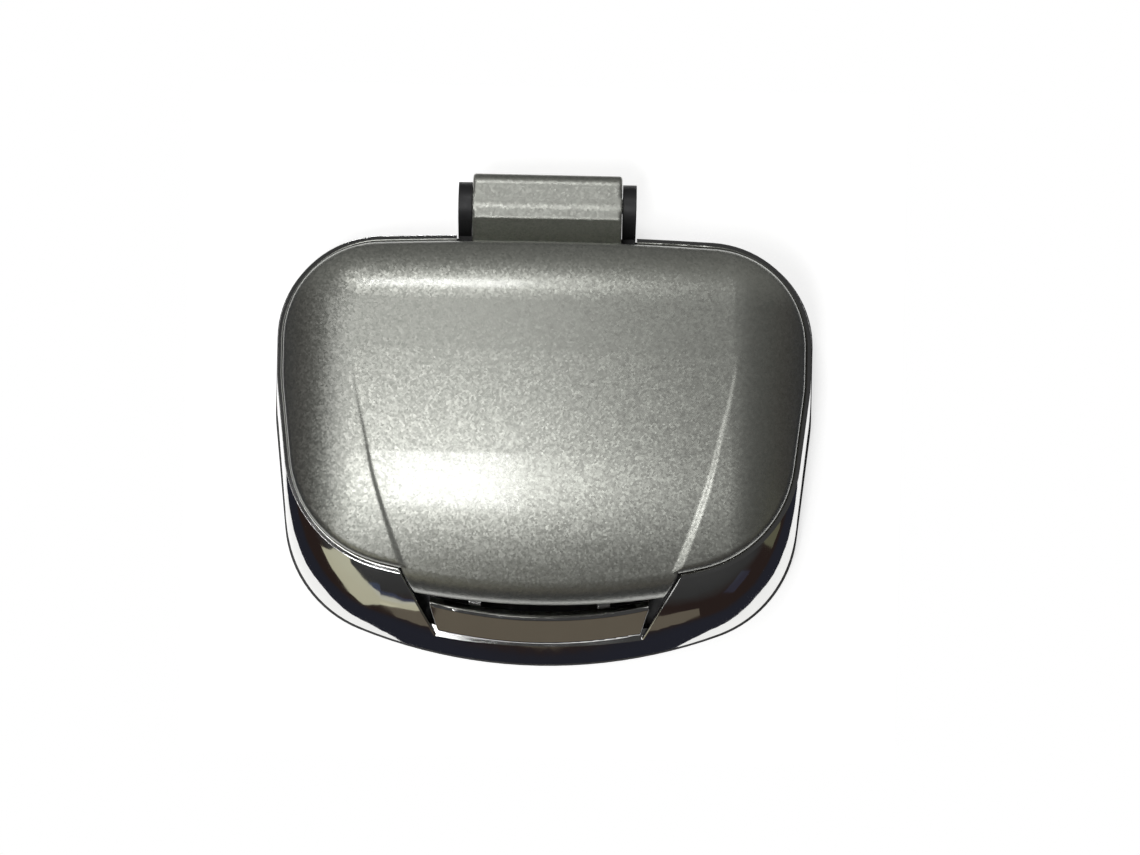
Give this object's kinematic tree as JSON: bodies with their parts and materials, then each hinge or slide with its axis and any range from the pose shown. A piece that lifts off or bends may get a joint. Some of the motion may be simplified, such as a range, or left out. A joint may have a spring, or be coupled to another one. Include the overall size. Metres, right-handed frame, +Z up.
{
  "type": "pill splitter",
  "caption": "Palm-size clamshell pill splitter: domed painted lid with a covered blade, chromed bezel, soft V nest, storage pockets and a front push button.",
  "frame": {"origin": "on the surface the feet stand on, under the middle of the overall box, hinge knuckle included", "axes": "+X across the case to its right, +Y to the hinge at the back, +Z up; the button faces -Y"},
  "size_m": [0.07, 0.0636, 0.0229],
  "materials": {
    "lid_paint": "metallic silver-grey paint with fine flake, satin gloss",
    "chrome": "bright chrome plating",
    "black_plastic": "fine matte texture",
    "tray_plastic": "satin light grey",
    "inner_plastic": "matte dark grey",
    "guard_plastic": "satin orange",
    "soft_rubber": "matte soft",
    "foot_rubber": "matte",
    "blade_steel": "ground bright",
    "pin_steel": "satin",
    "spring_steel": "drawn wire",
    "screw_steel": "zinc plated"
  },
  "bodies": {
    "base": {"base_pan": "black_plastic", "bezel": "chrome", "insert_tray": "tray_plastic", "pill_nest": "soft_rubber", "base_screws": "screw_steel", "rubber_feet": "foot_rubber", "lid_bumpers": "foot_rubber", "hinge_pin": "pin_steel", "hinge_spring": "spring_steel", "latch_springs": "spring_steel"},
    "lid": {"lid_shell": "lid_paint", "lid_liner": "tray_plastic", "liner_screws": "screw_steel", "lid_catch": "inner_plastic", "catch_screws": "screw_steel", "blade_carrier": "inner_plastic", "carrier_screws": "screw_steel", "blade": "blade_steel", "press_pads": "soft_rubber", "guard_springs": "spring_steel"},
    "guard": {"blade_guard": "guard_plastic"},
    "button": {"latch_button": "chrome"}
  },
  "joints": [
    {"name": "lid_hinge", "type": "hinge", "parent": "base", "child": "lid", "pos_m": [0, 0.0281, 0.0105], "axis": [-1, 0, 0], "range_deg": [0, 105]},
    {"name": "guard_slide", "type": "slide", "parent": "lid", "child": "guard", "axis": [0, 0, -1], "range_m": [0, 0.0058], "deforming": ["guard_springs"]},
    {"name": "button_press", "type": "slide", "parent": "base", "child": "button", "axis": [0, 1, 0], "range_m": [0, 0.0012], "stiffness_N_per_m": 600, "springref_m": -0.0008, "deforming": ["latch_springs"]}
  ],
  "couplings": [
    {"joint": "guard_slide", "follows": "lid_hinge", "m_per_rad": 0.003164}
  ]
}
